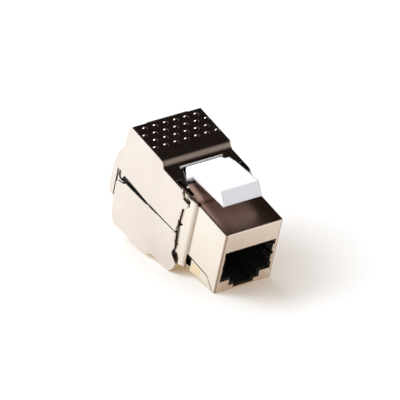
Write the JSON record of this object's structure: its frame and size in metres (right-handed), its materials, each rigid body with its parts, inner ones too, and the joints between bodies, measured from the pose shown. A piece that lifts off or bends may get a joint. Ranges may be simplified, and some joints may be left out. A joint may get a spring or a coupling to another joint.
{
  "type": "shielded tool-less keystone jack",
  "caption": "Shielded modular jack with a stepped plug port, a spring latch, and two hinged metal covers that press wires onto forked blades.",
  "frame": {"origin": "middle of the underside of the closed jack's box, below the rear cover", "axes": "+X to the right seen from the plug side, +Y from the plug face towards the cable, +Z towards the latch"},
  "size_m": [0.0176, 0.0386, 0.0294],
  "materials": {
    "nickel_sheet": "bright nickel-plated sheet, smooth with faint rolling marks",
    "black_plastic": "fine moulded satin",
    "white_plastic": "smooth moulded, soft gloss",
    "gold_contact": "gold flash over nickel, bright",
    "tinned_bronze": "tin-plated phosphor bronze, dull bright",
    "board_green": "green solder mask over glass laminate"
  },
  "bodies": {
    "jack": {"front_shield": "nickel_sheet", "bottom_shield": "nickel_sheet", "jack_body": "black_plastic", "contact_carrier": "black_plastic", "circuit_board": "board_green", "rear_housing": "black_plastic", "idc_block": "black_plastic", "contact_1": "gold_contact", "contact_2": "gold_contact", "contact_3": "gold_contact", "contact_4": "gold_contact", "contact_5": "gold_contact", "contact_6": "gold_contact", "contact_7": "gold_contact", "contact_8": "gold_contact", "idc_blade_1": "tinned_bronze", "idc_blade_2": "tinned_bronze", "idc_blade_3": "tinned_bronze", "idc_blade_4": "tinned_bronze", "idc_blade_5": "tinned_bronze", "idc_blade_6": "tinned_bronze", "idc_blade_7": "tinned_bronze", "idc_blade_8": "tinned_bronze"},
    "upper_wing": {"upper_cover": "nickel_sheet", "upper_wire_comb": "black_plastic"},
    "lower_wing": {"lower_cover": "nickel_sheet", "lower_wire_comb": "black_plastic"},
    "latch": {"keystone_latch": "white_plastic"}
  },
  "joints": [
    {"name": "upper_cover_hinge", "type": "hinge", "parent": "jack", "child": "upper_wing", "pos_m": [0, -0.00574, 0.02279], "axis": [1, 0, 0], "range_deg": [0, 80]},
    {"name": "lower_cover_hinge", "type": "hinge", "parent": "jack", "child": "lower_wing", "pos_m": [0, -0.00594, 0.00859], "axis": [-1, 0, 0], "range_deg": [0, 80]},
    {"name": "latch_flex", "type": "hinge", "parent": "jack", "child": "latch", "pos_m": [0, -0.00214, 0.02519], "axis": [1, 0, 0], "range_deg": [0, 9], "stiffness_Nm_per_rad": 0.05}
  ]
}
